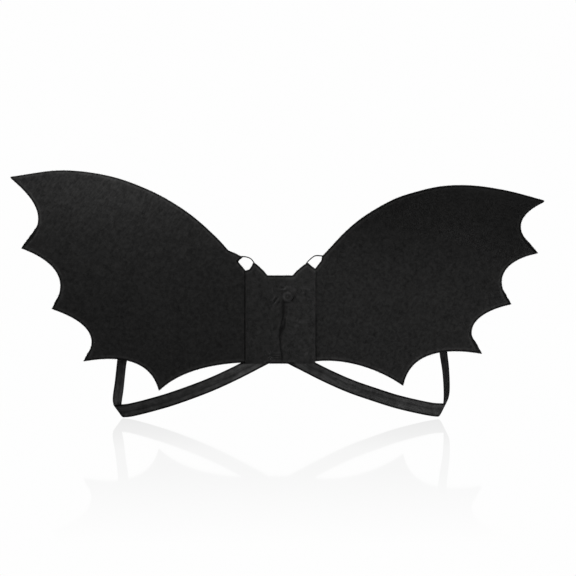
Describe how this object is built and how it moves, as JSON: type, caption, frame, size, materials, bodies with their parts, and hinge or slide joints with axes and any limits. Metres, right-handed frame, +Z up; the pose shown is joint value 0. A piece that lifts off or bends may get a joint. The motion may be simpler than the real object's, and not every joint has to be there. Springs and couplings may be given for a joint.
{
  "type": "felt bat wings with shoulder straps",
  "caption": "Black felt costume bat wings with scalloped edges, joined by a felt back panel and worn on elastic shoulder loops.",
  "frame": {"origin": "centre of the felt panel's back face, where the panel rests on the wearer's back", "axes": "+X to the wearer's right, along the wings; +Y forwards into the wearer's back, out of the panel's back face; +Z up, towards the shoulders"},
  "size_m": [0.795, 0.255, 0.3758],
  "materials": {
    "felt": "matt black needled felt",
    "elastic": "satin black ribbed elastic webbing"
  },
  "bodies": {
    "root": {"back_panel": "felt", "wing_left": "felt", "wing_right": "felt", "strap_left": "elastic", "strap_right": "elastic"}
  },
  "joints": []
}
